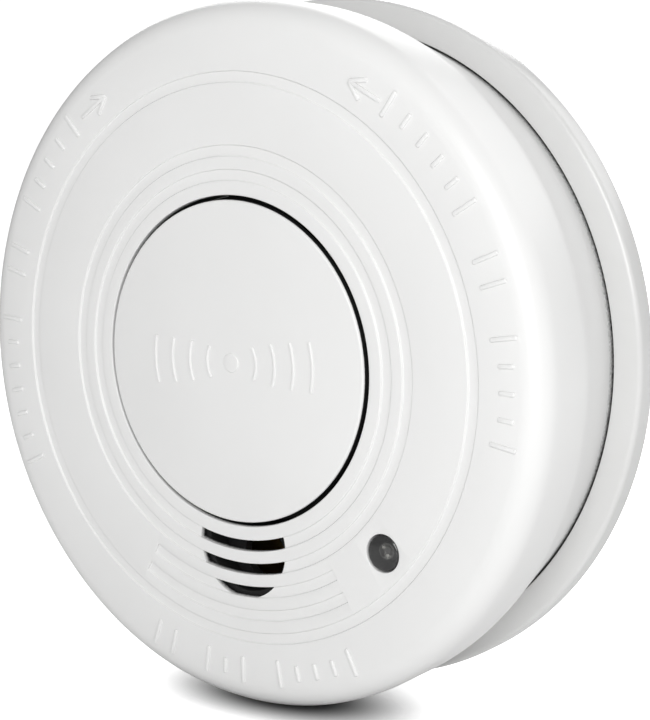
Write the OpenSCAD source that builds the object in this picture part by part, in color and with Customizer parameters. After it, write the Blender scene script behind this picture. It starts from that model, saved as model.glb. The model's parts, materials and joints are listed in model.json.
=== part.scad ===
// Round battery smoke alarm on a twist-lock mounting plate.
// Row frame: +Z up, the front faces -Y, the mounting face lies on y = 0.
// Every module is drawn with z as the distance from the wall and is turned upright by wall_frame().

/* [Mounting plate] */
// How far the flange stands out past the head's back edge
plate_reach = 4.8; // [2:0.1:6]
// Thickness of the flange at the rim
flange_t = 4; // [3.2:0.1:5.5]
// Gap all round between the head's back edge and the flange
rim_gap = 0.3; // [0.2:0.05:0.6]
// Thickness of the plate's web
plate_web_t = 2; // [1.4:0.1:2.6]
// Rounding of the flange's front edge
flange_edge_r = 0.8; // [0.4:0.1:1.6]
// Distance between the two screw slots of a pair
screw_spacing = 60; // [44:1:72]
// Width of a screw slot
slot_w = 4.4; // [3:0.1:6]
// Length of a screw slot, end to end
slot_l = 9; // [6:0.5:14]

/* [Twist lock] */
// Direction of the first hook, seen from the front
hook_start = 35; // [32:1:38]
// Turn that frees the head, in degrees
unlock_turn = 15; // [10:1:17]
// Half of the angle that a hook covers
hook_half_angle = 4.5; // [3:0.1:5.5]
// Radial thickness of a hook's post
hook_post_w = 2; // [1.4:0.1:2.8]
// Radial reach of a hook's tab beyond its post
hook_reach = 2.6; // [1.6:0.1:3.2]
// Thickness of a hook's tab
hook_tab_t = 1.4; // [1:0.1:1.8]
// Play between a tab and the ledge under it
lock_play = 0.35; // [0.3:0.05:0.6]

/* [Alarm head] */
// Largest diameter of the head, near its front edge
head_d = 109.6; // [108:0.2:134]
// How far the side wall narrows towards the back, on each side
head_taper = 3.6; // [0.5:0.1:4]
// Depth of the head from its back edge to the front face
head_depth = 25.4; // [25:0.1:32]
// Depth of the straight part of the side wall, from the front face
side_straight = 12; // [6:0.5:18]
// Rounding of the front edge
front_edge_r = 4; // [2:0.1:5]
// Wall thickness of the front cover
wall = 2; // [1.4:0.1:2.6]
// Gap between the head and the plate
seat_gap = 0.6; // [0.3:0.05:1.2]
// Thickness of the rear chassis
chassis_t = 1.8; // [1.4:0.1:2.2]
// Play between the chassis and the cover
shell_play = 0.15; // [0.05:0.05:0.4]

/* [Front face] */
// Diameter of the test button
button_d = 49.9; // [41:0.1:51]
// Gap around the button
button_gap = 0.7; // [0.2:0.05:1.2]
// Rounding of the edge of the button's opening
opening_edge_r = 0.2; // [0.2:0.05:0.9]
// Height of the button's face above the front face
button_proud = 0.4; // [0:0.1:0.8]
// How far the button travels
button_travel = 1; // [0.6:0.1:1.1]
// Distance between neighbouring face grooves
groove_pitch = 3.67; // [3:0.01:4]
// Width of a face groove
groove_w = 1.8; // [1:0.1:2]
// Depth of a face groove
groove_depth = 0.3; // [0.2:0.05:0.8]
// Distance from the button's edge to the first groove's middle line
groove_offset = 3.75; // [3:0.05:4.5]
// Half of the angle that the short grooves cover
short_groove_half_angle = 30; // [20:1:40]
// Diameter of the sounder port that the slots open into
port_d = 17; // [12:0.5:20]
// Thickness of the face behind the sounder slots
slot_wall = 1; // [0.8:0.1:1.4]
// Diameter of the hole for the status light
led_hole_d = 5.8; // [5.6:0.1:7]
// Diameter of the status light
led_d = 5.4; // [3:0.1:5.4]
// Height of the raised marks
mark_h = 0.3; // [0.1:0.05:0.4]
// Height of the raised sound sign on the button
sign_h = 0.2; // [0.1:0.05:0.3]

/* [Button guide] */
// Diameter of the button's centre post
post_d = 6; // [4:0.1:7]
// Play around the post and the guide pegs
guide_play = 0.25; // [0.15:0.05:0.5]
// Diameter of the return spring's wire
spring_wire = 0.6; // [0.4:0.05:0.8]
// Number of turns of the return spring
spring_turns = 5; // [4:0.5:7]

/* [Circuit board] */
// Distance from the wall to the back of the board
board_z = 10; // [9.6:0.1:10.6]
// Thickness of the board
board_t = 1.6; // [0.8:0.1:2]
// Play between the board's round edge and the hooks
board_play = 0.6; // [0.4:0.1:3]

/* [Battery] */
// Length of the battery's body
battery_l = 46.4; // [44:0.1:47]
// Width of the battery
battery_w = 26.2; // [24:0.1:27]
// Thickness of the battery
battery_t = 17.2; // [15:0.1:17.5]
// Wall of the battery bay
bay_wall = 1.4; // [1:0.1:1.6]
// Free space around the battery
bay_play = 0.4; // [0.2:0.05:0.6]

/* [Smoke chamber and sounder] */
// Radius of the smoke chamber
chamber_r = 16.4; // [14:0.1:16.8]
// Height of the smoke chamber over the board
chamber_h = 11.8; // [10:0.1:12]
// Diameter of the sounder's brass disc
piezo_d = 27; // [20:0.5:27]
// Wall of the sounder housing
sounder_wall = 1.3; // [1:0.1:1.5]

/* [Hidden] */
$fn = 96;
eps = 0.01;

// Stations along the axis, measured from the wall
head_back_z = flange_t + seat_gap;
front_z = head_back_z + head_depth;
cover_in_z = front_z - wall;
chassis_top = head_back_z + chassis_t;
board_top = board_z + board_t;

// Button and its well
button_r = button_d / 2;
button_top = front_z + button_proud;
button_skin = 1.6;
button_under = button_top - button_skin;
opening_r = button_r + button_gap;
well_wall = 1.4;
well_r = opening_r + well_wall;
screen_t = 0.4;
skirt_h = 1.4;
skirt_inset = 0.95;
skirt_wall = 1.4;
stop_play = 0.2;
screen_top = button_under - skirt_h - button_travel - stop_play;
floor_top = screen_top - screen_t;
floor_t = 1.2;
floor_z = floor_top - floor_t;
spoke_w = 6;
peg_r = 1.25;
peg_x = 16;
peg_bottom = floor_top - 1;

// Guide hub, spring and clip
post_r = post_d / 2;
spring_r = post_r + 1.6;
hub_in_r = spring_r + spring_wire / 2 + 0.8;
hub_r = hub_in_r + 1.5;
hub_floor_t = 1.2;
hub_depth = 6.8;
hub_z = floor_top - hub_depth;
hub_floor_top = hub_z + hub_floor_t;
clip_t = 0.6;
clip_gap = 0.1;
clip_top = hub_z - clip_gap;
clip_neck_r = post_r - 0.7;
clip_r = post_r + 1.6;
post_tip = 0.9;
post_bottom = clip_top - clip_t - post_tip;

// Test switch
switch_w = 6;
switch_h = 3.5;
plunger_r = 1.7;
plunger_top = post_bottom - 0.1;
switch_bore_floor = board_top + 0.8;
plunger_bottom = switch_bore_floor + button_travel + 0.2;

// Face grooves, counted outwards from the button
groove_1_r = button_r + groove_offset;
function groove_r(i) = groove_1_r + i * groove_pitch;
port_r = port_d / 2;
collar_wall = 1.2;
led_r = groove_r(3) - 1.62;
led_angle = -45;
led_x = led_r * cos(led_angle);
led_y = led_r * sin(led_angle);

// Status light
led_h = 8.6;
led_top = front_z + 0.3;
led_base = led_top - led_h;
led_flange_r = led_d / 2 + 0.4;
led_flange_t = 1;
led_pin_pitch = 2.54;
led_pin_w = 0.5;

// Head radii
head_r = head_d / 2;
head_back_r = head_r - head_taper;
flange_in_r = head_back_r + rim_gap;
cover_back_z = plate_web_t + seat_gap;
straight_z = front_z - side_straight;
chassis_r = head_back_r - wall - shell_play;
lip_w = 1.2;
lip_h = 2.6;
plate_r = head_back_r + plate_reach;

// Pockets in the back of the plate
back_pocket_pitch = 30;
back_pocket_depth = 0.7;

// Case screws and their bosses
case_screw_angles = [90, 220, 320];
boss_r = 3.2;
boss_place_r = chassis_r - lip_w - 0.35 - boss_r;
case_screw_r = 1.4;
case_head_r = 2.6;
case_head_t = 1.2;
screw_play = 0.05;
case_screw_l = 12;

// Twist lock
hook_count = 3;
hook_pitch = 360 / hook_count;
tab_outer_r = chassis_r - 1.85;
post_outer_r = tab_outer_r - hook_reach;
post_inner_r = post_outer_r - hook_post_w;
tab_z = chassis_top + lock_play;
window_play = 0.4;
window_spare_angle = 1.5;
hook_angles = [for (i = [0:hook_count - 1]) hook_start + i * hook_pitch];

// Battery bay and contacts
battery_gap_z = 0.6;
battery_z = head_back_z + battery_gap_z;
battery_top = battery_z + battery_t;
bay_top = battery_top + bay_play + bay_wall;
terminal_h = 2.6;
terminal_pitch = 12.7;
contact_t = 1.3;
bay_in_l = battery_l + terminal_h + contact_t + bay_play + 0.2;
bay_in_w = battery_w + 2 * bay_play;
bay_y0 = 10.3;
battery_y = bay_y0 + bay_wall + bay_play + battery_w / 2;
bay_x0 = -bay_in_l / 2;
battery_x0 = bay_x0 + bay_play;
battery_x1 = battery_x0 + battery_l;
contact_x = battery_x1 + terminal_h;
lead_hole_r = 1.3;
lead_r = 0.7;
lead_exit_z = battery_z + battery_t - 3.4;
red_exit_y = bay_y0 + bay_wall + 4.3;
black_exit_y = red_exit_y + 4.5;

// Sounder
sounder_y = -groove_1_r;
piezo_r = piezo_d / 2;
sounder_in_r = piezo_r + 0.4;
sounder_r = sounder_in_r + sounder_wall;
sounder_top = floor_z - 0.4;
sounder_skin = 1.4;
piezo_z = board_top + 5.7;
piezo_t = 0.25;
ceramic_r = 9.5;
ceramic_t = 0.2;

// Smoke chamber, tucked between the battery bay and the sounder
chamber_gap = 0.86;
chamber_y = bay_y0 - 1.9 - chamber_r;
function leg(long, short) = sqrt(long * long - short * short);
chamber_x = -max(leg(chamber_r + sounder_r + chamber_gap, chamber_y - sounder_y),
                 leg(chamber_r + hub_r + chamber_gap, chamber_y));
chamber_base_t = 1.6;
chamber_cap_t = 1.6;
chamber_top = board_top + chamber_h;
cap_z = chamber_top - chamber_cap_t;
base_top = board_top + chamber_base_t;
screen_wall = 0.4;
vane_count = 16;
vane_r = 12.8;
vane_t = 0.8;
vane_l = 3.2;
vane_ring_t = 0.8;
vane_ring_w = 5.2;
optic_angles = [200, 340];
optic_r = 2.5;
optic_l = 7.6;
optic_start_r = 5;
optic_z = base_top + 4;
pocket_w = 7;

// Board outline and screws
board_y1 = bay_y0 - 1.2;
board_r = post_inner_r - board_play;
boss_relief = 0.8;
board_post_r = 2.8;
board_screw_r = 1.25;
board_screw_hole_r = 1.6;
board_head_r = 2.5;
board_head_t = 1.5;
head_clear = board_head_r + 0.7;
board_screw_places = [
    [board_r - 5, 3],
    [chamber_x - (chamber_r + head_clear) * cos(45), chamber_y + (chamber_r + head_clear) * sin(45)],
    [-(sounder_r + head_clear) * cos(25), sounder_y - (sounder_r + head_clear) * sin(25)]];

// Control chip
chip_gap = 0.7;
chip_y = -1;
chip_l = 19.3;
chip_w = 6.4;
chip_x = board_screw_places[0][0] - board_head_r - chip_gap - chip_l / 2;
pin_pitch = 2.54;
pin_places = [for (i = [0:7], side = [-1, 1])
    [chip_x + (i - 3.5) * pin_pitch, chip_y + side * (chip_w / 2 + 0.35)]];

// Rounded stretch of an outline
function arc(cx, cy, r, a0, a1, n) =
    [for (i = [0:n]) let (a = a0 + (a1 - a0) * i / n) [cx + r * cos(a), cy + r * sin(a)]];

// Tube swept along a route: rings of points, then the faces between them
function unit(v) = v / norm(v);
function route_dir(p, i) =
    unit(p[min(i + 1, len(p) - 1)] - p[max(i - 1, 0)]);
function side_of(d) = unit(cross(d, abs(d[2]) < 0.9 ? [0, 0, 1] : [1, 0, 0]));
function ring(p, i, r, n) =
    let (d = route_dir(p, i), u = side_of(d), v = cross(d, u))
    [for (k = [0:n - 1]) p[i] + r * (cos(360 * k / n) * u + sin(360 * k / n) * v)];

module tube(path, r, sides = 8) {
    count = len(path);
    points = [for (i = [0:count - 1]) each ring(path, i, r, sides)];
    walls = [for (i = [0:count - 2], k = [0:sides - 1])
        let (a = i * sides, b = a + sides, j = (k + 1) % sides)
        each [[a + k, b + k, b + j], [a + k, b + j, a + j]]];
    start = [for (k = [0:sides - 1]) k];
    finish = [for (k = [sides - 1:-1:0]) (count - 1) * sides + k];
    polyhedron(points, concat([start], walls, [finish]));
}

module wall_frame() {
    rotate([90, 0, 0]) children();
}

module disc(r, z0, z1) {
    translate([0, 0, z0]) cylinder(r = r, h = z1 - z0);
}

module band(r0, r1, z0, z1) {
    difference() {
        disc(r1, z0, z1);
        disc(r0, z0 - 1, z1 + 1);
    }
}

module sector(r0, r1, a0, a1, z0, z1) {
    translate([0, 0, z0])
        rotate_extrude(angle = a1 - a0, start = a0) translate([r0, 0]) square([r1 - r0, z1 - z0]);
}

module block(x0, x1, y0, y1, z0, z1) {
    translate([x0, y0, z0]) cube([x1 - x0, y1 - y0, z1 - z0]);
}

module around(angles, r) {
    for (a = angles) rotate([0, 0, a]) translate([r, 0, 0]) children();
}

module at_led() {
    translate([led_x, led_y, 0]) children();
}

module at_sounder() {
    translate([0, sounder_y, 0]) children();
}

module at_chamber() {
    translate([chamber_x, chamber_y, 0]) children();
}

// Mounting plate: web, flange with a rounded edge, hooks and screw slots

module flange_profile() {
    foot = 0.4;
    polygon(concat(
        [[flange_in_r, 0], [plate_r - foot, 0], [plate_r, foot]],
        arc(plate_r - flange_edge_r, flange_t - flange_edge_r, flange_edge_r, 0, 90, 6),
        [[flange_in_r, flange_t]]));
}

module screw_slot() {
    reach = (slot_l - slot_w) / 2;
    for (side = [-1, 1]) translate([side * reach, 0, -1]) cylinder(d = slot_w, h = flange_t + 2);
    block(-reach, reach, -slot_w / 2, slot_w / 2, -1, flange_t + 1);
}

module hook() {
    span = hook_half_angle;
    sector(post_inner_r, post_outer_r, -span, span, plate_web_t - 0.5, tab_z + hook_tab_t);
    sector(post_inner_r, tab_outer_r, -span, span, tab_z, tab_z + hook_tab_t);
}

// Shallow pockets that keep the back of the web even in thickness between its ribs
module back_pockets() {
    outer_in = screw_spacing / 2 + slot_l / 2 + 2.5;
    inner_out = screw_spacing / 2 - slot_l / 2 - 2.5;
    sector(outer_in, flange_in_r - 3, 2, back_pocket_pitch - 2, -1, back_pocket_depth);
    sector(inner_out / 2, inner_out, 4, back_pocket_pitch - 4, -1, back_pocket_depth);
}

module mounting_plate() {
    color("gainsboro") wall_frame() {
        difference() {
            union() {
                disc(flange_in_r + eps, 0, plate_web_t);
                rotate_extrude() flange_profile();
            }
            for (a = [0:back_pocket_pitch:359]) rotate([0, 0, a]) back_pockets();
            for (side = [-1, 1]) {
                translate([side * screw_spacing / 2, 0, 0]) screw_slot();
                rotate([0, 0, 90]) translate([side * screw_spacing / 2, 0, 0]) screw_slot();
            }
        }
        for (a = hook_angles) rotate([0, 0, a]) hook();
    }
}

// Front cover: tapered shell, face grooves, slots, button well with spokes and hub, bosses

module cover_profile(inset) {
    r_front = head_r - inset;
    r_back = head_back_r - inset;
    z_front = front_z - inset;
    edge = max(front_edge_r - inset, 0.5);
    z_back = inset > 0 ? cover_back_z - 1 : cover_back_z;
    polygon(concat(
        [[0, z_back], [r_back, z_back], [r_back, head_back_z], [r_front, straight_z]],
        arc(r_front - edge, z_front - edge, edge, 0, 90, 8),
        [[0, z_front]]));
}

module face_groove(i) {
    band(groove_r(i) - groove_w / 2, groove_r(i) + groove_w / 2, front_z - groove_depth, front_z + 1);
}

module short_groove(i) {
    sector(groove_r(i) - groove_w / 2, groove_r(i) + groove_w / 2,
           270 - short_groove_half_angle, 270 + short_groove_half_angle,
           front_z - groove_depth, front_z + 1);
}

module sounder_slots() {
    intersection() {
        for (i = [0:2]) band(groove_r(i) - groove_w / 2, groove_r(i) + groove_w / 2,
                             cover_in_z - 1, front_z + 1);
        at_sounder() disc(port_r, cover_in_z - 1, front_z + 1);
    }
}

// Raised tick marks stand in for wording, with an arrow at the end of each turning row
module tick_row(first, last, count, r) {
    for (i = [0:count - 1])
        rotate([0, 0, first + (last - first) * i / (count - 1)])
            block(r - (i % 3 == 0 ? 1.7 : 1), r + (i % 3 == 0 ? 1.7 : 1), -0.3, 0.3,
                  front_z - 0.2, front_z + mark_h);
}

module arrow(angle, turn, r) {
    rotate([0, 0, angle]) translate([r, 0, 0]) {
        block(-0.3, 0.3, turn > 0 ? -5.4 : 0, turn > 0 ? 0 : 5.4, front_z - 0.2, front_z + mark_h);
        for (side = [-1, 1]) rotate([0, 0, side * 35 + (turn > 0 ? 180 : 0)])
            block(-0.3, 0.3, 0, 2.8, front_z - 0.2, front_z + mark_h);
    }
}

mark_r = (groove_r(4) + head_r) / 2 - 0.2;

module face_marks() {
    tick_row(130, 203, 25, mark_r);
    arrow(120, -1, mark_r);
    tick_row(-12, 51, 23, mark_r);
    arrow(60, 1, mark_r);
    tick_row(246, 296, 17, mark_r);
}

module cover_well() {
    band(opening_r, well_r, floor_z, cover_in_z + eps);
    for (a = [0, 90, 180, 270]) rotate([0, 0, a])
        block(hub_in_r + 0.5, opening_r + 0.5, -spoke_w / 2, spoke_w / 2, floor_z, floor_top);
    band(hub_in_r, hub_r, hub_z, floor_top);
    band(post_r + guide_play, hub_in_r + 0.5, hub_z, hub_floor_top);
}

module sounder_collar() {
    difference() {
        at_sounder() band(port_r + 0.1, port_r + 0.1 + collar_wall, sounder_top + 0.2, cover_in_z + eps);
        disc(well_r - 0.5, floor_z - 2, front_z);
    }
}

module opening_edge() {
    inner = opening_r - 1;
    outer = opening_r + opening_edge_r;
    level = front_z - opening_edge_r;
    polygon(concat(
        [[inner, level], [inner, front_z + 1], [outer, front_z + 1]],
        arc(outer, level, opening_edge_r, 90, 180, 6)));
}

module front_cover() {
    color("white") wall_frame() {
        difference() {
            union() {
                difference() {
                    rotate_extrude() cover_profile(0);
                    rotate_extrude() cover_profile(wall);
                    disc(opening_r, cover_in_z - 1, front_z + 1);
                    rotate_extrude() opening_edge();
                    for (i = [0, 1, 4]) face_groove(i);
                    for (i = [2, 3]) short_groove(i);
                    sounder_slots();
                    at_sounder() disc(port_r + 0.1, cover_in_z - 1, front_z - groove_depth - slot_wall);
                    at_led() disc(led_hole_d / 2, cover_in_z - 1, front_z + 1);
                }
                around(case_screw_angles, boss_place_r) disc(boss_r, chassis_top, cover_in_z + eps);
                cover_well();
                sounder_collar();
                face_marks();
            }
            around(case_screw_angles, boss_place_r)
                disc(case_screw_r + screw_play, chassis_top - 1, chassis_top + case_screw_l);
            for (side = [-1, 1]) translate([side * peg_x, 0, 0])
                disc(peg_r + guide_play, floor_z - 1, floor_top + 1);
        }
    }
}

// Rear chassis: back wall, lip, battery bay, twist-lock windows and board posts

module lock_window() {
    turn_end = -unlock_turn;
    reach = hook_half_angle + window_spare_angle;
    z0 = head_back_z - 1;
    z1 = chassis_top + 1;
    sector(post_inner_r - window_play, tab_outer_r + window_play, turn_end - reach, turn_end + reach, z0, z1);
    sector(post_inner_r - window_play, post_outer_r + window_play, turn_end - reach, reach, z0, z1);
}

module bay_box(grow, z0, z1) {
    block(bay_x0 - grow, -bay_x0 + grow, bay_y0 + bay_wall - grow,
          bay_y0 + bay_wall + bay_in_w + grow, z0, z1);
}

module rear_chassis() {
    color("whitesmoke") wall_frame() {
        difference() {
            union() {
                disc(chassis_r, head_back_z, chassis_top);
                band(chassis_r - lip_w, chassis_r, chassis_top - eps, chassis_top + lip_h);
                bay_box(bay_wall, head_back_z, bay_top);
                for (p = board_screw_places) translate(p) disc(board_post_r, chassis_top - eps, board_z);
            }
            bay_box(0, head_back_z - 1, bay_top - bay_wall);
            for (a = hook_angles) rotate([0, 0, a]) lock_window();
            around(case_screw_angles, boss_place_r) {
                disc(case_screw_r + 0.3, head_back_z - 1, chassis_top + 1);
                disc(case_head_r + 0.2, head_back_z - 1, head_back_z + case_head_t + 0.05);
            }
            for (p = board_screw_places) translate(p)
                disc(board_screw_r + screw_play, head_back_z + 0.6, board_z + 1);
            for (y = [red_exit_y, black_exit_y]) translate([-bay_x0 - 1, y, lead_exit_z])
                rotate([0, 90, 0]) cylinder(r = lead_hole_r, h = bay_wall + 2);
        }
    }
}

module pan_screw(shank_r, shank_l, head_r, head_t, drive_r) {
    difference() {
        union() {
            disc(head_r, 0, head_t);
            disc(shank_r, head_t - eps, head_t + shank_l);
        }
        for (a = [0, 90]) rotate([0, 0, a])
            block(-drive_r, drive_r, -0.35, 0.35, -1, head_t * 0.6);
    }
}

module case_screws() {
    color("silver") wall_frame() around(case_screw_angles, boss_place_r) translate([0, 0, head_back_z])
        pan_screw(case_screw_r, case_screw_l, case_head_r, case_head_t, 1.5);
}

// Black mesh that lies on the well's spokes and keeps insects out
module vent_screen() {
    slit_w = 1.1;
    color("dimgray") wall_frame() difference() {
        band(hub_in_r + 0.4, opening_r - 0.3, floor_top, screen_top);
        for (side = [-1, 1]) translate([side * peg_x, 0, 0])
            disc(peg_r + guide_play + 0.15, floor_top - 1, screen_top + 1);
        for (q = [0:3], i = [-1, 0, 1]) rotate([0, 0, 45 + q * 90 + i * 18])
            block(hub_r + 1, opening_r - 2, -slit_w / 2, slit_w / 2, floor_top - 1, screen_top + 1);
    }
}

// Test button with its skirt, centre post, guide pegs and stiffening ribs

module button_profile() {
    edge = 0.4;
    polygon(concat(
        [[0, button_under], [button_r, button_under]],
        arc(button_r - edge, button_top - edge, edge, 0, 90, 5),
        [[0, button_top]]));
}

// A dot with arcs on both sides, a plain sign for sound
module sound_sign() {
    stroke = 0.55;
    z0 = button_top - 0.2;
    z1 = button_top + sign_h;
    disc(1.5, z0, z1);
    for (wave = [[4.6, 30], [8.2, 22], [11.8, 17], [15.4, 14]], side = [0, 180])
        sector(wave[0], wave[0] + stroke, side - wave[1], side + wave[1], z0, z1);
}

module test_button() {
    skirt_r = button_r - skirt_inset;
    skirt_z = button_under - skirt_h;
    color("white") wall_frame() difference() {
        union() {
            rotate_extrude() button_profile();
            sound_sign();
            band(skirt_r - skirt_wall, skirt_r, skirt_z, button_under + eps);
            disc(post_r, post_bottom, button_under + eps);
            for (side = [-1, 1]) translate([side * peg_x, 0, 0])
                disc(peg_r, peg_bottom, button_under + eps);
            for (a = [30:60:330]) rotate([0, 0, a])
                block(hub_in_r + 0.6, skirt_r - 0.5, -0.6, 0.6, skirt_z + 0.2, button_under + eps);
        }
        band(clip_neck_r, post_r + 1, clip_top - clip_t - 0.05, clip_top + 0.05);
    }
}

module button_clip() {
    color("darkgray") wall_frame() difference() {
        disc(clip_r, clip_top - clip_t, clip_top);
        disc(clip_neck_r + 0.02, clip_top - clip_t - 1, clip_top + 1);
        block(0, clip_r + 1, -clip_neck_r * 0.75, clip_neck_r * 0.75, clip_top - clip_t - 1, clip_top + 1);
    }
}

module button_spring() {
    z0 = hub_floor_top + spring_wire / 2;
    rise = button_under - hub_floor_top - spring_wire;
    steps = 14;
    count = spring_turns * steps;
    path = [for (i = [0:count]) let (a = 360 * i / steps)
        [spring_r * cos(a), spring_r * sin(a), z0 + rise * i / count]];
    color("silver") wall_frame() tube(path, spring_wire / 2, 6);
}

module test_switch() {
    half = switch_w / 2;
    color("darkslategray") wall_frame() difference() {
        block(-half, half, -half, half, board_top, board_top + switch_h);
        disc(plunger_r + guide_play, switch_bore_floor, board_top + switch_h + 1);
    }
}

module switch_plunger() {
    color("goldenrod") wall_frame() disc(plunger_r, plunger_bottom, plunger_top);
}

// Status light, its legs and the spacer that carries it up to the face

module status_led() {
    dome_z = led_top - led_d / 2;
    color("gray") wall_frame() at_led() {
        disc(led_flange_r, led_base, led_base + led_flange_t);
        disc(led_d / 2, led_base + led_flange_t - eps, dome_z);
        translate([0, 0, dome_z]) intersection() {
            sphere(d = led_d);
            disc(led_d, -eps, led_d);
        }
    }
}

module led_leads() {
    half = led_pin_w / 2;
    color("silver") wall_frame() at_led() for (side = [-1, 1]) translate([side * led_pin_pitch / 2, 0, 0])
        block(-half, half, -half, half, board_z - 1, led_base);
}

module led_spacer() {
    color("dimgray") wall_frame() at_led() difference() {
        disc(led_flange_r + 0.2, board_top, led_base);
        for (side = [-1, 1]) translate([side * led_pin_pitch / 2, 0, 0])
            disc(0.5, board_top - 1, led_base + 1);
    }
}

// Circuit board below the battery bay

module circuit_board() {
    color("seagreen") wall_frame() difference() {
        disc(board_r, board_z, board_top);
        block(-board_r - 1, board_r + 1, board_y1, board_r + 1, board_z - 1, board_top + 1);
        around(case_screw_angles, boss_place_r) disc(boss_r + boss_relief, board_z - 1, board_top + 1);
        for (p = board_screw_places) translate(p) disc(board_screw_hole_r, board_z - 1, board_top + 1);
        at_led() for (side = [-1, 1]) translate([side * led_pin_pitch / 2, 0, 0])
            disc(0.5, board_z - 1, board_top + 1);
        for (p = pin_places) translate(p) disc(0.4, board_z - 1, board_top + 1);
    }
}

module board_screws() {
    shank_l = board_top - chassis_top;
    color("silver") wall_frame() for (p = board_screw_places)
        translate([p[0], p[1], board_top + board_head_t])
        mirror([0, 0, 1]) pan_screw(board_screw_r, shank_l, board_head_r, board_head_t, 1.5);
}

// Smoke chamber: base with optic pockets, chevron vanes, cap and mesh ring

module optic_axis(a) {
    rotate([0, 0, a]) translate([optic_start_r, 0, optic_z]) rotate([0, 90, 0]) children();
}

module chamber_base() {
    color("darkslategray") wall_frame() at_chamber() {
        disc(chamber_r, board_top, base_top);
        for (a = optic_angles) difference() {
            rotate([0, 0, a]) block(optic_start_r + 1.5, optic_start_r + 8, -pocket_w / 2, pocket_w / 2,
                                    base_top - eps, optic_z);
            optic_axis(a) cylinder(r = optic_r + 0.45, h = 20);
        }
    }
}

module vane() {
    for (side = [-1, 1]) rotate([0, 0, side * 50])
        block(-0.3, vane_l, -vane_t / 2, vane_t / 2, base_top + 0.1, cap_z - vane_ring_t / 2);
}

function turn_between(a, b) = abs((a - b + 540) % 360 - 180);

module chamber_labyrinth() {
    clear = 26;
    free = [for (i = [0:vane_count - 1]) let (a = i * 360 / vane_count)
        if (min([for (o = optic_angles) turn_between(a, o)]) > clear) a];
    color("black") wall_frame() at_chamber() {
        band(vane_r - vane_ring_w / 2 + 0.4, vane_r + vane_ring_w / 2, cap_z - vane_ring_t, cap_z);
        around(free, vane_r - 1) vane();
    }
}

module chamber_cap() {
    color("darkslategray") wall_frame() at_chamber() {
        disc(chamber_r, cap_z, chamber_top);
    }
}

module insect_screen() {
    outer = chamber_r - 0.1;
    pitch = 15;
    color("gray") wall_frame() at_chamber() difference() {
        band(outer - screen_wall, outer, base_top, cap_z);
        for (a = [0:pitch:179]) rotate([0, 0, a])
            block(-chamber_r - 1, chamber_r + 1, -1.5, 1.5, base_top + 1.2, cap_z - 1.2);
    }
}

module optic_part(a) {
    optic_axis(a) {
        translate([0, 0, optic_r]) cylinder(r = optic_r, h = optic_l - optic_r);
        translate([0, 0, optic_r]) sphere(r = optic_r);
        translate([0, 0, optic_l - 1]) cylinder(r = optic_r + 0.4, h = 1);
    }
}

module infrared_emitter() {
    color("lightblue") wall_frame() at_chamber() optic_part(optic_angles[0]);
}

module photodiode() {
    color("midnightblue") wall_frame() at_chamber() optic_part(optic_angles[1]);
}

// Sounder: cup on the board, brass disc with its ceramic, contact springs

module sounder_housing() {
    ledge_z = piezo_z + piezo_t + 0.05;
    color("dimgray") wall_frame() at_sounder() {
        band(sounder_in_r, sounder_r, board_top, sounder_top);
        band(sounder_in_r - 1.2, sounder_in_r + eps, ledge_z, ledge_z + 1);
        difference() {
            disc(sounder_in_r + eps, sounder_top - sounder_skin, sounder_top);
            translate([0, -2.6, 0]) disc(4, sounder_top - 3, sounder_top + 1);
        }
    }
}

module piezo_disc() {
    color("gold") wall_frame() at_sounder() disc(piezo_r, piezo_z, piezo_z + piezo_t);
}

module piezo_ceramic() {
    color("ivory") wall_frame() at_sounder() disc(ceramic_r, piezo_z - ceramic_t, piezo_z);
}

module sounder_contacts() {
    lift = piezo_z - ceramic_t - board_top;
    lean = 30;
    strip = lift / cos(lean) - 0.6;
    color("silver") wall_frame() at_sounder() for (x = [-6, 0, 6]) translate([x, 3, board_top]) {
        block(-0.6, 0.6, 0, 3, 0, 0.3);
        rotate([lean, 0, 0]) block(-0.6, 0.6, 0, 0.3, 0, strip);
    }
}

// Board components

module control_chip() {
    color("black") wall_frame() difference() {
        block(chip_x - chip_l / 2, chip_x + chip_l / 2, chip_y - chip_w / 2, chip_y + chip_w / 2,
              board_top + 0.5, board_top + 3.8);
        translate([chip_x - chip_l / 2, chip_y, 0]) disc(0.9, board_top + 3.2, board_top + 5);
    }
}

module chip_pins() {
    pin_t = 0.3;
    color("silver") wall_frame() for (p = pin_places) translate(p) {
        block(-0.25, 0.25, -pin_t / 2, pin_t / 2, board_z - 0.8, board_top + 2.3);
        block(-0.7, 0.7, -0.35, 0.35, board_top + 1, board_top + 2.3);
    }
}

capacitor_places = [[20, -12.5], [27, -11]];

module capacitors() {
    color("darkblue") wall_frame() for (p = capacitor_places)
        translate([p[0], p[1], board_top]) difference() {
        disc(2.5, 0, 11);
        band(2.3, 3.5, 1, 1.8);
    }
}

module inductor() {
    color("brown") wall_frame() translate([34.8, -10.8, board_top]) {
        disc(4.4, 0, 1.2);
        disc(3.6, 1.2 - eps, 6.8);
        disc(4.4, 6.8 - eps, 8);
    }
}

// Each place is x, y and the turn of the resistor
resistor_places = [[8.6, 2, 90], [11.6, 2, 90], [17.3, 6, 0], [25.5, 6, 0]];

module resistors() {
    lift = 1.4;
    color("tan") wall_frame() for (p = resistor_places)
        translate([p[0], p[1], board_top + lift]) rotate([0, 0, p[2]]) {
            rotate([0, 90, 0]) cylinder(r = 1.15, h = 6.3, center = true);
            for (side = [-1, 1]) {
                translate([side * 3.1, 0, 0]) rotate([0, side * 90, 0]) cylinder(r = 0.3, h = 0.6);
                translate([side * 3.6, 0, 0]) disc(0.3, -lift, 0.3);
            }
        }
}

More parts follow.
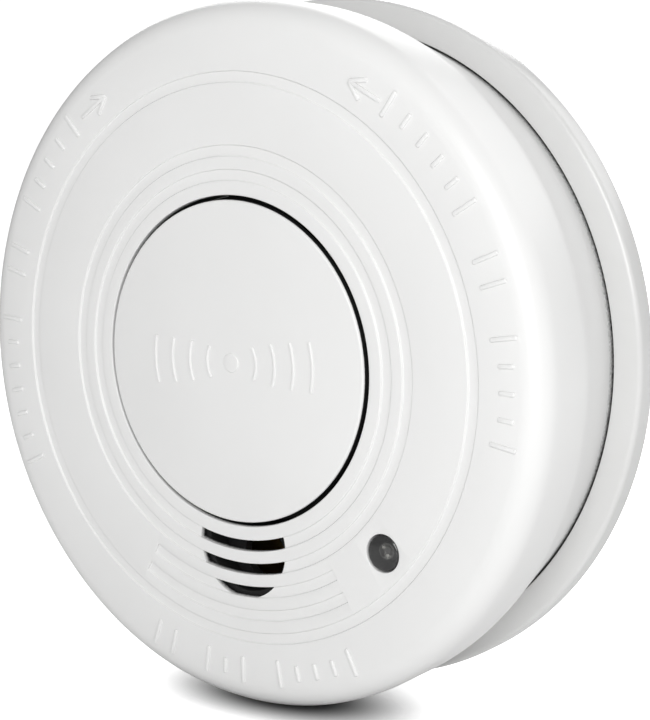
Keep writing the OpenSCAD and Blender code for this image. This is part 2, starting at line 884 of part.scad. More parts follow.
module transistor() {
    color("black") wall_frame() translate([18.5, -19.5, board_top]) {
        difference() {
            disc(2.4, 2.4, 7);
            block(1.2, 3, -3, 3, 2, 8);
        }
        for (y = [-1.2, 0, 1.2]) translate([0, y, 0]) block(-0.2, 0.2, -0.2, 0.2, 0, 2.5);
    }
}

// Battery, its snap contacts and the two leads

module battery() {
    edge = 2.5;
    reach_y = battery_w / 2 - edge;
    reach_z = battery_t / 2 - edge;
    color("darkgoldenrod") wall_frame()
        translate([battery_x0, battery_y, battery_z + battery_t / 2]) rotate([90, 0, 90])
            linear_extrude(battery_l) {
                square([2 * reach_y, battery_t], center = true);
                square([battery_w, 2 * reach_z], center = true);
                for (u = [-1, 1], v = [-1, 1]) translate([u * reach_y, v * reach_z]) circle(edge);
            }
}

module on_terminals(side) {
    translate([battery_x1, battery_y + side * terminal_pitch / 2, battery_z + battery_t / 2])
        rotate([0, 90, 0]) children();
}

module battery_terminals() {
    color("silver") wall_frame() {
        on_terminals(1) disc(2.8, 0, terminal_h - 0.1);
        on_terminals(-1) band(3.4, 4.4, 0, terminal_h - 0.1);
    }
}

module contact_plate() {
    color("black") wall_frame()
        block(contact_x, contact_x + contact_t, battery_y - battery_w / 2, battery_y + battery_w / 2,
              battery_z + 0.6, battery_top - 0.6);
}

module snap_contacts() {
    color("silver") wall_frame() {
        on_terminals(1) band(3, 3.8, 0.3, terminal_h);
        on_terminals(-1) disc(3, 0.3, terminal_h);
    }
}

lead_start = contact_x + contact_t;
red_drop = [[1.9, 0, 0], [4, -0.6, -0.6], [5.4, -2.6, -2.2], [5.8, -5.4, -4.2], [5.8, -8, -5.8]];
black_drop = [[2.2, 0, 0], [5, -0.6, -0.6], [7.8, -3, -2.2], [9.2, -7.4, -4.2], [9.2, -11, -5.8]];

module lead(exit_y, drop) {
    start = [lead_start, exit_y, lead_exit_z];
    last = start + drop[len(drop) - 1];
    foot_y = board_y1 - 2.9;
    path = concat([start], [for (d = drop) start + d],
                  [[last[0], foot_y, board_top + 1.1], [last[0], foot_y, board_top]]);
    wall_frame() tube(path, lead_r);
}

module red_lead() {
    color("red") lead(red_exit_y, red_drop);
}

module black_lead() {
    color("black") lead(black_exit_y, black_drop);
}

mounting_plate();
front_cover();
rear_chassis();
case_screws();
vent_screen();
test_button();
button_clip();
button_spring();
test_switch();
switch_plunger();
status_led();
led_leads();
led_spacer();
circuit_board();
board_screws();
chamber_base();
chamber_labyrinth();
chamber_cap();
insect_screen();
infrared_emitter();
photodiode();
sounder_housing();
piezo_disc();
piezo_ceramic();
sounder_contacts();
control_chip();
chip_pins();
capacitors();
inductor();
resistors();
transistor();
battery();
battery_terminals();
contact_plate();
snap_contacts();
red_lead();
black_lead();
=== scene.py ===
import json
import math

import bpy
from mathutils import Matrix, Vector


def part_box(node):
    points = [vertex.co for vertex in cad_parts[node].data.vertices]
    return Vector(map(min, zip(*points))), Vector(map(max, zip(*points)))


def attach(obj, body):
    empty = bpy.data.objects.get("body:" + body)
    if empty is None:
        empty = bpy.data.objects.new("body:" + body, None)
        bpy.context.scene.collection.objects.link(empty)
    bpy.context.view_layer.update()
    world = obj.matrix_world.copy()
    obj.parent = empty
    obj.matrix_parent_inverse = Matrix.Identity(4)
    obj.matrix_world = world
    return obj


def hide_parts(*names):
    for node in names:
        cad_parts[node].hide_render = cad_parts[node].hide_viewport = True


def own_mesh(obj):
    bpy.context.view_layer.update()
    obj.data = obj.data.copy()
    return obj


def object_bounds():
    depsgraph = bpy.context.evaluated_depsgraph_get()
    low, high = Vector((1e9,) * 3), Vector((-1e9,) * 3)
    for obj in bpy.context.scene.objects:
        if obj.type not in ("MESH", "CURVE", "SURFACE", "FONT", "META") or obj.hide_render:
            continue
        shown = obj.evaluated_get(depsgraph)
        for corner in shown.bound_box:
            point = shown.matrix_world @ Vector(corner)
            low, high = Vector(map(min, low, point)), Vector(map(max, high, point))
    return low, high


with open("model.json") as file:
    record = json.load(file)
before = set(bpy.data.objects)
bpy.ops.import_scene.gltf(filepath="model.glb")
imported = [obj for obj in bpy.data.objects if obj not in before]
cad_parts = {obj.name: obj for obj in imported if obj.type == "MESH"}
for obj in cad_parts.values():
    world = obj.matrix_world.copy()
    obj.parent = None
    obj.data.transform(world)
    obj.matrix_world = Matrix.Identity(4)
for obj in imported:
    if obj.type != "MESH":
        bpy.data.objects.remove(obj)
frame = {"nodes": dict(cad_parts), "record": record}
cad_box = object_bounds()

# Lengths are in millimetres until a mesh is made. "out" is the distance from the wall, so a
# point is (x, -out, z) in the frame, and an angle runs counter-clockwise seen from the front.
MM = 0.001
ROUND_STEPS = 240                           # round the whole head
FEATURE_STEPS = 96                          # round a feature such as the port or the light
SMALL_STEPS = 48                            # round a boss or a screw hole
ARC_STEPS = 64                              # along a short groove or a slot
MERGE_DISTANCE = 0.002
SMOOTH_ANGLE = 32                           # degrees, and steeper edges stay sharp
CUT_PAST = 1                                # a cutter reaches this far past what it cuts
WELD = 0.3                                  # a rib or boss reaches this far into its wall
DOWN = 270                                  # the angle of the lowest point
QUARTERS = (0, 90, 180, 270)


# ------------------------------------------------------------------ sizes from the frame

def low_mm(node):
    return [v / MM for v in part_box(node)[0]]


def high_mm(node):
    return [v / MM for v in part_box(node)[1]]


COVER_LOW, COVER_HIGH = low_mm("front_cover"), high_mm("front_cover")
BUTTON_LOW, BUTTON_HIGH = low_mm("test_button"), high_mm("test_button")
PLATE_LOW, PLATE_HIGH = low_mm("mounting_plate"), high_mm("mounting_plate")
SCREEN_HIGH = high_mm("vent_screen")
LED_LOW, LED_HIGH = low_mm("status_led"), high_mm("status_led")

MARK_HEIGHT = 0.3                           # the raised marks on the rim
SIGN_HEIGHT = 0.2                           # the raised sign on the button
FACE = -COVER_LOW[1] - MARK_HEIGHT          # the front face
HEAD_R = COVER_HIGH[0]                      # largest radius of the head
HEAD_BACK = -COVER_HIGH[1]                  # the head's back edge
TAPER = 3.6
SIDE_STRAIGHT = 12.0
BACK_R = HEAD_R - TAPER
WALL = 2.0
FRONT_EDGE = 4.0
BUTTON_R = BUTTON_HIGH[0]
BUTTON_TOP = -BUTTON_LOW[1] - SIGN_HEIGHT
BUTTON_T = 1.6
PEG_X = 16.0                                # the button's guide pegs
BUTTON_GAP = 0.7
OPENING_R = BUTTON_R + BUTTON_GAP
OPENING_EDGE = 0.2
WELL_WALL = 1.4
FLOOR_TOP = -SCREEN_HIGH[1]                 # the well's spokes, which carry the mesh
FLOOR_T = 1.2
GROOVE_PITCH = 3.67
GROOVE_W = 1.8
GROOVE_DEPTH = 0.3
GROOVE_SLOPE = 0.14
GROOVE_1 = BUTTON_R + 3.75
RING_GROOVES = (0, 1, 4)                    # these run all the way round
SHORT_GROOVES = (2, 3)
SLOT_GROOVES = (0, 1, 2)
SHORT_GROOVE_HALF = 30                      # degrees to each side of the lowest point
PORT_R = 8.5                                # the round of slots over the sounder
PORT_ROOM_R = PORT_R + 0.1                  # the room behind the slots
SOUNDER_LOW = FACE - 5.6
LED_X = (LED_LOW[0] + LED_HIGH[0]) / 2
LED_Z = (LED_LOW[2] + LED_HIGH[2]) / 2
LED_TOP = -LED_LOW[1]
LED_BASE = -LED_HIGH[1]
LED_R = 2.7
LED_HOLE_R = 2.9
PLATE_R = PLATE_HIGH[0]
FLANGE_T = 4.0
WEB_T = 2.0
POCKET_STEP = 30                            # degrees from one pocket in the back to the next
POCKET_ROWS = ((37.0, BACK_R - 2.7, 2), (11.5, 23.0, 4))
SCREW_REACH = 30                            # the screw slots' distance from the centre
TAPER_END = FLANGE_T + 0.6
CHASSIS_GAP = 0.15
CHASSIS_R = BACK_R - WALL - CHASSIS_GAP
CHASSIS_WALL = 1.2
BOSS_R = 3.2
BOSS_GAP = 0.35
BOSS_PLACE_R = CHASSIS_R - CHASSIS_WALL - BOSS_GAP - BOSS_R
BOSS_TURNS = (90, 220, 320)
HOOK_TURNS = (35, 155, 275)
MARK_R = (GROOVE_1 + 4 * GROOVE_PITCH + HEAD_R) / 2 - 0.2


# ------------------------------------------------------------------ modelling helpers

def clear_selection():
    for obj in list(bpy.context.selected_objects):
        obj.select_set(False)


def focus(obj):
    clear_selection()
    obj.select_set(True)
    bpy.context.view_layer.objects.active = obj


def mesh_object(name, points, edges=(), faces=()):
    mesh = bpy.data.meshes.new(name)
    mesh.from_pydata([tuple(c * MM for c in p) for p in points], list(edges), list(faces))
    obj = bpy.data.objects.new(name, mesh)
    bpy.context.collection.objects.link(obj)
    return obj


def smooth(obj, degrees):
    focus(obj)
    bpy.ops.object.shade_smooth_by_angle(angle=math.radians(degrees))


def place(obj, x=0.0, out=0.0, z=0.0, turn=0.0):
    """Moves a finished mesh, then turns it about the frame's Y axis. Its object stays put."""
    obj.data.transform(Matrix.Translation((x * MM, -out * MM, z * MM)))
    obj.data.transform(Matrix.Rotation(math.radians(-turn), 4, "Y"))


def rounded(corners, steps=4):
    """A closed outline from (a, b, radius) corners, with an arc where the radius isn't 0."""
    outline = []
    count = len(corners)
    for i, (a, b, radius) in enumerate(corners):
        here = Vector((a, b))
        if radius <= 0:
            outline.append((a, b))
            continue
        before = (Vector(corners[i - 1][:2]) - here).normalized()
        after = (Vector(corners[(i + 1) % count][:2]) - here).normalized()
        half = before.angle(after) / 2
        reach = radius / math.tan(half)
        centre = here + (before + after).normalized() * radius / math.sin(half)
        first = here + before * reach - centre
        last = here + after * reach - centre
        sweep = first.angle_signed(last)
        for k in range(steps + 1):
            arm = first.copy()
            arm.rotate(Matrix.Rotation(-sweep * k / steps, 2))
            outline.append(tuple(centre + arm))
    return outline


def lathe(name, outline, steps=ROUND_STEPS, start=0.0, turn=360.0, x=0.0, z=0.0):
    """Spins an outline of (radius, out) points about the line through (x, z) along Y."""
    c, s = math.cos(math.radians(start)), math.sin(math.radians(start))
    points = [(x + r * c, -out, z + r * s) for r, out in outline]
    count = len(points)
    obj = mesh_object(name, points, [(i, (i + 1) % count) for i in range(count)])
    focus(obj)
    bpy.ops.object.mode_set(mode="EDIT")
    bpy.ops.mesh.select_all(action="SELECT")
    bpy.ops.mesh.spin(steps=steps, angle=math.radians(turn), center=(x * MM, 0, z * MM),
                      axis=(0, 1, 0))
    bpy.ops.mesh.select_all(action="SELECT")
    bpy.ops.mesh.remove_doubles(threshold=MERGE_DISTANCE * MM)
    if turn < 360:
        bpy.ops.mesh.select_all(action="DESELECT")
        bpy.ops.mesh.select_mode(type="EDGE")
        bpy.ops.mesh.select_non_manifold(extend=False)
        bpy.ops.mesh.edge_face_add()
        bpy.ops.mesh.select_mode(type="VERT")
        bpy.ops.mesh.select_all(action="SELECT")
    bpy.ops.mesh.delete_loose(use_faces=False)
    bpy.ops.mesh.select_all(action="SELECT")
    bpy.ops.mesh.normals_make_consistent(inside=False)
    bpy.ops.object.mode_set(mode="OBJECT")
    return obj


def ring_outline(inner, outer, low, high, edge):
    return rounded([(inner, low, edge), (outer, low, edge),
                    (outer, high, edge), (inner, high, edge)])


def rod_outline(radius, low, high, edge_low, edge_high):
    return rounded([(0, low, 0), (radius, low, edge_low), (radius, high, edge_high), (0, high, 0)])


def bar(name, size, x=0.0, out=0.0, z=0.0, edge=0.1, segments=2):
    """A cube primitive of size (x, out, z), bevelled all round, centred at (x, out, z)."""
    clear_selection()
    bpy.ops.mesh.primitive_cube_add(size=1, location=(x * MM, -out * MM, z * MM))
    obj = bpy.context.object
    obj.name = name
    obj.scale = (size[0] * MM, size[1] * MM, size[2] * MM)
    bpy.ops.object.transform_apply(location=True, rotation=True, scale=True)
    if edge > 0:
        modifier = obj.modifiers.new("edges", "BEVEL")
        modifier.width = edge * MM
        modifier.segments = segments
        modifier.limit_method = "ANGLE"
        apply_modifier(obj, modifier)
    return obj


def apply_modifier(obj, modifier):
    focus(obj)
    bpy.ops.object.modifier_apply(modifier=modifier.name)


def combine(target, tool, operation):
    modifier = target.modifiers.new("cut", "BOOLEAN")
    modifier.operation = operation
    modifier.solver = "EXACT"
    modifier.object = tool
    apply_modifier(target, modifier)
    bpy.data.objects.remove(tool, do_unlink=True)
    return target


def join(name, parts):
    focus(parts[0])
    for part in parts:
        part.select_set(True)
    bpy.ops.object.join()
    obj = bpy.context.object
    obj.name = name
    return obj


def hand_over(obj, body, node, slot, degrees=SMOOTH_ANGLE):
    """A finished piece takes its node's place, body and finish."""
    smooth(obj, degrees)
    obj.data.materials.clear()
    obj.data.materials.append(MATERIALS[slot])
    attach(obj, body)
    if node:
        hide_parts(node)


# ------------------------------------------------------------------ shader groups

SURFACE_OUTPUTS = [("Color", "NodeSocketColor"), ("Roughness", "NodeSocketFloat"),
                   ("Height", "NodeSocketFloat")]


def grey(value):
    return (value, value, value, 1)


def object_coordinates(nodes):
    return nodes.new("ShaderNodeTexCoord").outputs["Object"]


def new_group(name, inputs, outputs):
    group = bpy.data.node_groups.new(name, "ShaderNodeTree")
    for title, kind, value in inputs:
        socket = group.interface.new_socket(name=title, in_out="INPUT", socket_type=kind)
        socket.default_value = value
    for title, kind in outputs:
        group.interface.new_socket(name=title, in_out="OUTPUT", socket_type=kind)
    return group, group.nodes.new("NodeGroupInput"), group.nodes.new("NodeGroupOutput")


def noise(nodes, links, vector, scale, detail, roughness):
    node = nodes.new("ShaderNodeTexNoise")
    node.inputs["Detail"].default_value = detail
    node.inputs["Roughness"].default_value = roughness
    links.new(vector, node.inputs["Vector"])
    if isinstance(scale, float):
        node.inputs["Scale"].default_value = scale
    else:
        links.new(scale, node.inputs["Scale"])
    return node.outputs["Fac"]


def calc(nodes, links, operation, a, b):
    node = nodes.new("ShaderNodeMath")
    node.operation = operation
    for socket, value in zip(node.inputs, (a, b)):
        if isinstance(value, (int, float)):
            socket.default_value = value
        else:
            links.new(value, socket)
    return node.outputs[0]


def mixed(nodes, links, factor, a, b, blend="MIX"):
    node = nodes.new("ShaderNodeMix")
    node.data_type = "RGBA"
    node.blend_type = blend
    for title, value in (("Factor", factor), ("A", a), ("B", b)):
        if isinstance(value, (int, float, tuple)):
            node.inputs[title].default_value = value
        else:
            links.new(value, node.inputs[title])
    return node.outputs["Result"]


def spread(nodes, links, value, low, high):
    node = nodes.new("ShaderNodeMapRange")
    links.new(value, node.inputs["Value"])
    for title, limit in (("To Min", low), ("To Max", high)):
        if isinstance(limit, float):
            node.inputs[title].default_value = limit
        else:
            links.new(limit, node.inputs[title])
    return node.outputs["Result"]


def make_mould_texture():
    """Fine spark-eroded mould texture with slow drifts of tone and gloss."""
    group, start, end = new_group(
        "mould_texture",
        [("Grain Scale", "NodeSocketFloat", 4200.0), ("Tone", "NodeSocketColor", grey(0.8)),
         ("Tone Drift", "NodeSocketFloat", 0.03), ("Gloss Low", "NodeSocketFloat", 0.4),
         ("Gloss High", "NodeSocketFloat", 0.5)],
        SURFACE_OUTPUTS)
    nodes, links = group.nodes, group.links
    where = object_coordinates(nodes)
    fine_share, coarse_share = 0.7, 0.3
    fine = noise(nodes, links, where, scale=start.outputs["Grain Scale"], detail=2.0, roughness=0.6)
    coarse = noise(nodes, links, where, scale=900.0, detail=2.0, roughness=0.5)
    flow = noise(nodes, links, where, scale=38.0, detail=3.0, roughness=0.55)
    height = calc(nodes, links, "ADD", calc(nodes, links, "MULTIPLY", fine, fine_share),
                  calc(nodes, links, "MULTIPLY", coarse, coarse_share))
    links.new(height, end.inputs["Height"])
    links.new(spread(nodes, links, flow, start.outputs["Gloss Low"], start.outputs["Gloss High"]),
              end.inputs["Roughness"])
    shade = (0.72, 0.72, 0.71, 1)
    darker = mixed(nodes, links, 1.0, start.outputs["Tone"], shade, "MULTIPLY")
    drift = calc(nodes, links, "MULTIPLY", flow, start.outputs["Tone Drift"])
    links.new(mixed(nodes, links, drift, start.outputs["Tone"], darker), end.inputs["Color"])
    return group


def make_gap_painted_shade():
    """Painted shade in a gap, dark where shadow falls: a mask inside a ring about the line through
    Centre Height along Y.

    It grows with the depth below Top, to its full strength at Fade, and is broken up by specks.
    """
    group, start, end = new_group(
        "gap_painted_shade",
        [("Inner Radius", "NodeSocketFloat", 0.0245), ("Outer Radius", "NodeSocketFloat", 0.0262),
         ("Top", "NodeSocketFloat", 0.030), ("Fade", "NodeSocketFloat", 0.0006),
         ("Centre Height", "NodeSocketFloat", 0.0)],
        [("Mask", "NodeSocketFloat")])
    nodes, links = group.nodes, group.links
    where = object_coordinates(nodes)
    parts = nodes.new("ShaderNodeSeparateXYZ")
    links.new(where, parts.inputs[0])
    height = calc(nodes, links, "SUBTRACT", parts.outputs["Z"], start.outputs["Centre Height"])
    across = calc(nodes, links, "SQRT",
                  calc(nodes, links, "ADD",
                       calc(nodes, links, "MULTIPLY", parts.outputs["X"], parts.outputs["X"]),
                       calc(nodes, links, "MULTIPLY", height, height)), 0.0)
    inside = calc(nodes, links, "GREATER_THAN", across, start.outputs["Inner Radius"])
    outside = calc(nodes, links, "LESS_THAN", across, start.outputs["Outer Radius"])
    depth = calc(nodes, links, "ADD", parts.outputs["Y"], start.outputs["Top"])
    grown = calc(nodes, links, "DIVIDE", depth, start.outputs["Fade"])
    speck = noise(nodes, links, where, scale=2400.0, detail=2.0, roughness=0.5)
    broken = calc(nodes, links, "ADD", grown, calc(nodes, links, "SUBTRACT", speck, 0.5))
    clamp = nodes.new("ShaderNodeClamp")
    links.new(broken, clamp.inputs["Value"])
    ring = calc(nodes, links, "MULTIPLY", inside, outside)
    links.new(calc(nodes, links, "MULTIPLY", ring, clamp.outputs[0]), end.inputs["Mask"])
    return group


def make_brushed_streaks():
    """Long fine scratches along one direction, as on rolled or turned metal."""
    group, start, end = new_group(
        "brushed_streaks",
        [("Tone", "NodeSocketColor", grey(0.6)), ("Along", "NodeSocketVector", (1, 1, 12)),
         ("Gloss Low", "NodeSocketFloat", 0.22), ("Gloss High", "NodeSocketFloat", 0.42)],
        SURFACE_OUTPUTS)
    nodes, links = group.nodes, group.links
    where = object_coordinates(nodes)
    stretch = nodes.new("ShaderNodeVectorMath")
    stretch.operation = "MULTIPLY"
    links.new(where, stretch.inputs[0])
    links.new(start.outputs["Along"], stretch.inputs[1])
    streak = noise(nodes, links, stretch.outputs[0], scale=900.0, detail=4.0, roughness=0.6)
    stain = noise(nodes, links, where, scale=160.0, detail=3.0, roughness=0.5)
    links.new(streak, end.inputs["Height"])
    links.new(spread(nodes, links, streak, start.outputs["Gloss Low"], start.outputs["Gloss High"]),
              end.inputs["Roughness"])
    most_stain, stain_tone = 0.45, (0.6, 0.58, 0.55, 1)
    dull = mixed(nodes, links, 1.0, start.outputs["Tone"], stain_tone, "MULTIPLY")
    share = calc(nodes, links, "MULTIPLY", stain, most_stain)
    links.new(mixed(nodes, links, share, start.outputs["Tone"], dull), end.inputs["Color"])
    return group


# Near-black of the painted shade in gaps, and the group that masks it.
PAINTED_SHADE_BLACK = grey(0.012)
MOULD_TEXTURE = make_mould_texture()
GAP_PAINTED_SHADE = make_gap_painted_shade()
BRUSHED_STREAKS = make_brushed_streaks()


# ------------------------------------------------------------------ materials

def new_material(name):
    material = bpy.data.materials.new(name)
    material.use_nodes = True
    nodes, links = material.node_tree.nodes, material.node_tree.links
    nodes.clear()
    shader = nodes.new("ShaderNodeBsdfPrincipled")
    output = nodes.new("ShaderNodeOutputMaterial")
    links.new(shader.outputs[0], output.inputs["Surface"])
    return material, nodes, links, shader


def add_group(nodes, group, **values):
    node = nodes.new("ShaderNodeGroup")
    node.node_tree = group
    for title, value in values.items():
        node.inputs[title.replace("_", " ")].default_value = value
    return node


def bump(nodes, links, shader, height, strength, distance):
    node = nodes.new("ShaderNodeBump")
    node.inputs["Strength"].default_value = strength
    node.inputs["Distance"].default_value = distance * MM
    links.new(height, node.inputs["Height"])
    links.new(node.outputs[0], shader.inputs["Normal"])


def wear(links, skin, shader):
    links.new(skin.outputs["Color"], shader.inputs["Base Color"])
    links.new(skin.outputs["Roughness"], shader.inputs["Roughness"])


def mould_skin(nodes, tone, grain, drift, gloss):
    return add_group(nodes, MOULD_TEXTURE, Grain_Scale=grain, Tone=(*tone, 1), Tone_Drift=drift,
                     Gloss_Low=gloss[0], Gloss_High=gloss[1])


def moulded(name, tone, gloss, grain=4200.0, relief=0.25, drift=0.25, painted_shade=()):
    """Moulded plastic.

    A row of painted shade is (inner radius, outer radius, out of the gap's mouth, fade, centre's
    z).
    """
    material, nodes, links, shader = new_material(name)
    skin = mould_skin(nodes, tone, grain, drift, gloss)
    colour = skin.outputs["Color"]
    # Painted shade: the colour goes near-black deep in each gap, where shadow falls.
    for inner, outer, mouth, fade, centre in painted_shade:
        mask = add_group(nodes, GAP_PAINTED_SHADE, Inner_Radius=inner * MM, Outer_Radius=outer * MM,
                         Top=mouth * MM, Fade=fade * MM, Centre_Height=centre * MM)
        colour = mixed(nodes, links, mask.outputs["Mask"], colour, PAINTED_SHADE_BLACK)
    links.new(colour, shader.inputs["Base Color"])
    links.new(skin.outputs["Roughness"], shader.inputs["Roughness"])
    bump(nodes, links, shader, skin.outputs["Height"], strength=relief, distance=0.02)
    shader.inputs["IOR"].default_value = 1.5
    return material


def metal(name, tone, gloss=(0.22, 0.42), along=(1, 1, 12)):
    material, nodes, links, shader = new_material(name)
    skin = add_group(nodes, BRUSHED_STREAKS, Tone=(*tone, 1), Along=along,
                     Gloss_Low=gloss[0], Gloss_High=gloss[1])
    wear(links, skin, shader)
    shader.inputs["Metallic"].default_value = 1.0
    bump(nodes, links, shader, skin.outputs["Height"], strength=0.15, distance=0.01)
    return material


def resin(name, tone, see_through):
    """Cast resin of a light or an optic part, with faint cloudiness."""
    material, nodes, links, shader = new_material(name)
    skin = mould_skin(nodes, tone, grain=1500.0, drift=0.6, gloss=(0.05, 0.12))
    wear(links, skin, shader)
    shader.inputs["Transmission Weight"].default_value = see_through
    shader.inputs["IOR"].default_value = 1.53
    return material


def board_finish(name):
    """Green solder mask over right-angled copper tracks."""
    material, nodes, links, shader = new_material(name)
    where = object_coordinates(nodes)
    tracks = nodes.new("ShaderNodeTexBrick")
    tracks.offset = 0.37
    tracks.squash = 2.0
    tracks.squash_frequency = 3
    tilt = nodes.new("ShaderNodeMapping")
    tilt.inputs["Rotation"].default_value = (math.radians(90), 0, 0)
    links.new(where, tilt.inputs["Vector"])
    links.new(tilt.outputs[0], tracks.inputs["Vector"])
    tracks.inputs["Scale"].default_value = 260.0
    tracks.inputs["Mortar Size"].default_value = 0.035
    tracks.inputs["Mortar Smooth"].default_value = 0.2
    tracks.inputs["Color1"].default_value = (0.012, 0.12, 0.045, 1)
    tracks.inputs["Color2"].default_value = (0.016, 0.14, 0.055, 1)
    tracks.inputs["Mortar"].default_value = (0.05, 0.26, 0.10, 1)
    weave = noise(nodes, links, where, scale=1300.0, detail=2.0, roughness=0.5)
    most_weave, weave_tone = 0.35, (0.008, 0.09, 0.03, 1)
    share = calc(nodes, links, "MULTIPLY", weave, most_weave)
    links.new(mixed(nodes, links, share, tracks.outputs["Color"], weave_tone),
              shader.inputs["Base Color"])
    links.new(spread(nodes, links, weave, low=0.22, high=0.38), shader.inputs["Roughness"])
    bump(nodes, links, shader, tracks.outputs["Fac"], strength=0.3, distance=0.03)
    return material


def banded(name, tone, bands, spacing, axis, gloss=(0.3, 0.42)):
    """A lacquered body with rings of colour along an axis, as on resistors, coils and sleeves."""
    material, nodes, links, shader = new_material(name)
    skin = mould_skin(nodes, tone, grain=3000.0, drift=0.4, gloss=gloss)
    wave = nodes.new("ShaderNodeTexWave")
    wave.wave_type = "BANDS"
    wave.bands_direction = axis
    wave.inputs["Scale"].default_value = spacing
    wave.inputs["Distortion"].default_value = 0.4
    links.new(object_coordinates(nodes), wave.inputs["Vector"])
    band_start = 0.62
    edge = calc(nodes, links, "GREATER_THAN", wave.outputs["Fac"], band_start)
    colour = mixed(nodes, links, edge, skin.outputs["Color"], (*bands, 1))
    links.new(colour, shader.inputs["Base Color"])
    links.new(skin.outputs["Roughness"], shader.inputs["Roughness"])
    bump(nodes, links, shader, wave.outputs["Fac"], strength=0.25, distance=0.03)
    return material


WHITE = (0.80, 0.80, 0.795)
PLATE_WHITE = (0.66, 0.66, 0.655)
# Painted shade in the gap round the button's opening, in the slots and behind them, and in the gap
# at the head's back edge.
GAP_PAINTED_SHADE_ROWS = ((OPENING_R - 0.3, OPENING_R + 0.25, FACE - 0.5, 0.8, 0),
                 (0, PORT_R + 0.3, FACE - GROOVE_DEPTH - 0.15, 0.7, -GROOVE_1),
                 (BACK_R - 0.6, BACK_R + 1.2, TAPER_END + 0.3, 1.6, 0))
# Painted shade on the button's side, just below its top edge, in the gap round it.
BUTTON_PAINTED_SHADE_ROWS = ((BUTTON_R - 2.6, BUTTON_R + 0.2, BUTTON_TOP - 0.36, 0.1, 0),)
# Each row is (kind, name, tone, what else that kind takes).
FINISHES = [
    (moulded, "shell_white", WHITE, dict(gloss=(0.30, 0.40), painted_shade=GAP_PAINTED_SHADE_ROWS)),
    (moulded, "plate_white", PLATE_WHITE, dict(gloss=(0.20, 0.30), relief=0.12)),
    (moulded, "button_white", WHITE, dict(gloss=(0.30, 0.40), painted_shade=BUTTON_PAINTED_SHADE_ROWS)),
    (moulded, "chassis_white", (0.66, 0.66, 0.64), dict(gloss=(0.5, 0.62), relief=0.35)),
    (moulded, "black_plastic", (0.018, 0.018, 0.019), dict(gloss=(0.45, 0.6), relief=0.4)),
    (moulded, "black_mesh", (0.008, 0.008, 0.008),
     dict(gloss=(0.7, 0.85), grain=9000.0, relief=0.8)),
    (resin, "smoky_lens", (0.20, 0.20, 0.20), dict(see_through=0.85)),
    (resin, "clear_lens", (0.62, 0.72, 0.85), dict(see_through=0.9)),
    (resin, "dark_lens", (0.03, 0.03, 0.06), dict(see_through=0.5)),
    (metal, "screw_steel", (0.58, 0.57, 0.54), dict()),
    (metal, "tinned_wire", (0.70, 0.70, 0.68), dict(gloss=(0.18, 0.3))),
    (metal, "mesh_steel", (0.45, 0.45, 0.44), dict(gloss=(0.3, 0.5))),
    (metal, "disc_brass", (0.72, 0.50, 0.20), dict(along=(12, 1, 1))),
    (moulded, "ceramic", (0.72, 0.70, 0.62), dict(gloss=(0.3, 0.45), grain=2500.0, drift=0.5)),
    (moulded, "switch_body", (0.02, 0.02, 0.022), dict(gloss=(0.5, 0.65), relief=0.3)),
    (moulded, "plunger_tan", (0.30, 0.17, 0.07), dict(gloss=(0.35, 0.5), drift=0.4)),
    (moulded, "chip_black", (0.012, 0.012, 0.013),
     dict(gloss=(0.55, 0.7), grain=6000.0, relief=0.6)),
    (banded, "can_sleeve", (0.012, 0.02, 0.16),
     dict(bands=(0.02, 0.035, 0.24), spacing=45.0, axis="Y")),
    (banded, "coil_copper", (0.30, 0.10, 0.035),
     dict(bands=(0.12, 0.035, 0.012), spacing=800.0, axis="Y", gloss=(0.2, 0.35))),
    (banded, "resistor_body", (0.55, 0.38, 0.20),
     dict(bands=(0.20, 0.05, 0.02), spacing=190.0, axis="X")),
    (moulded, "battery_can", (0.05, 0.055, 0.065),
     dict(gloss=(0.25, 0.36), grain=2000.0, drift=0.5)),
    (moulded, "lead_red", (0.45, 0.012, 0.01), dict(gloss=(0.35, 0.45), drift=0.5)),
    (moulded, "lead_black", (0.012, 0.012, 0.012), dict(gloss=(0.35, 0.45))),
]
MATERIALS = {name: make(name, tone, **more) for make, name, tone, more in FINISHES}
MATERIALS["board_green"] = board_finish("board_green")
NODE_SLOT = {part["node"]: part["material_slot"] for part in frame["record"]["subparts"]}


def finish_frame_nodes():
    """Every CAD node takes its finish; those that a new piece replaces are hidden afterwards."""
    for node, obj in frame["nodes"].items():
        obj.data.materials.clear()
        obj.data.materials.append(MATERIALS[NODE_SLOT[node]])


# ------------------------------------------------------------------ front cover

def groove_corners(radius):
    """A face groove with softened lips and floor."""
    lip, bed = 0.18, 0.15
    floor = FACE - GROOVE_DEPTH
    half = GROOVE_W / 2
    return [(radius - half, FACE, lip), (radius - half + GROOVE_SLOPE, floor, bed),
            (radius + half - GROOVE_SLOPE, floor, bed), (radius + half, FACE, lip)]


def cover_shell():
    inside_top = FACE - WALL
    straight = FACE - SIDE_STRAIGHT
    well_low = FLOOR_TOP - FLOOR_T
    side_bend, taper_bend, well_foot = 9.0, 1.0, 0.15
    corners = [(OPENING_R, well_low, well_foot), (OPENING_R, FACE, OPENING_EDGE)]
    for i in RING_GROOVES:
        corners += groove_corners(GROOVE_1 + i * GROOVE_PITCH)
    corners += [(HEAD_R, FACE, FRONT_EDGE), (HEAD_R, straight, side_bend),
                (BACK_R, TAPER_END, taper_bend), (BACK_R, HEAD_BACK, 0.3),
                (BACK_R - WALL, HEAD_BACK, 0.25), (BACK_R - WALL, TAPER_END, taper_bend),
                (HEAD_R - WALL, straight, side_bend),
                (HEAD_R - WALL, inside_top, FRONT_EDGE - WALL),
                (OPENING_R + WELL_WALL, inside_top, 0.3),
                (OPENING_R + WELL_WALL, well_low, well_foot)]
    return lathe("front_cover_shell", rounded(corners, 5))


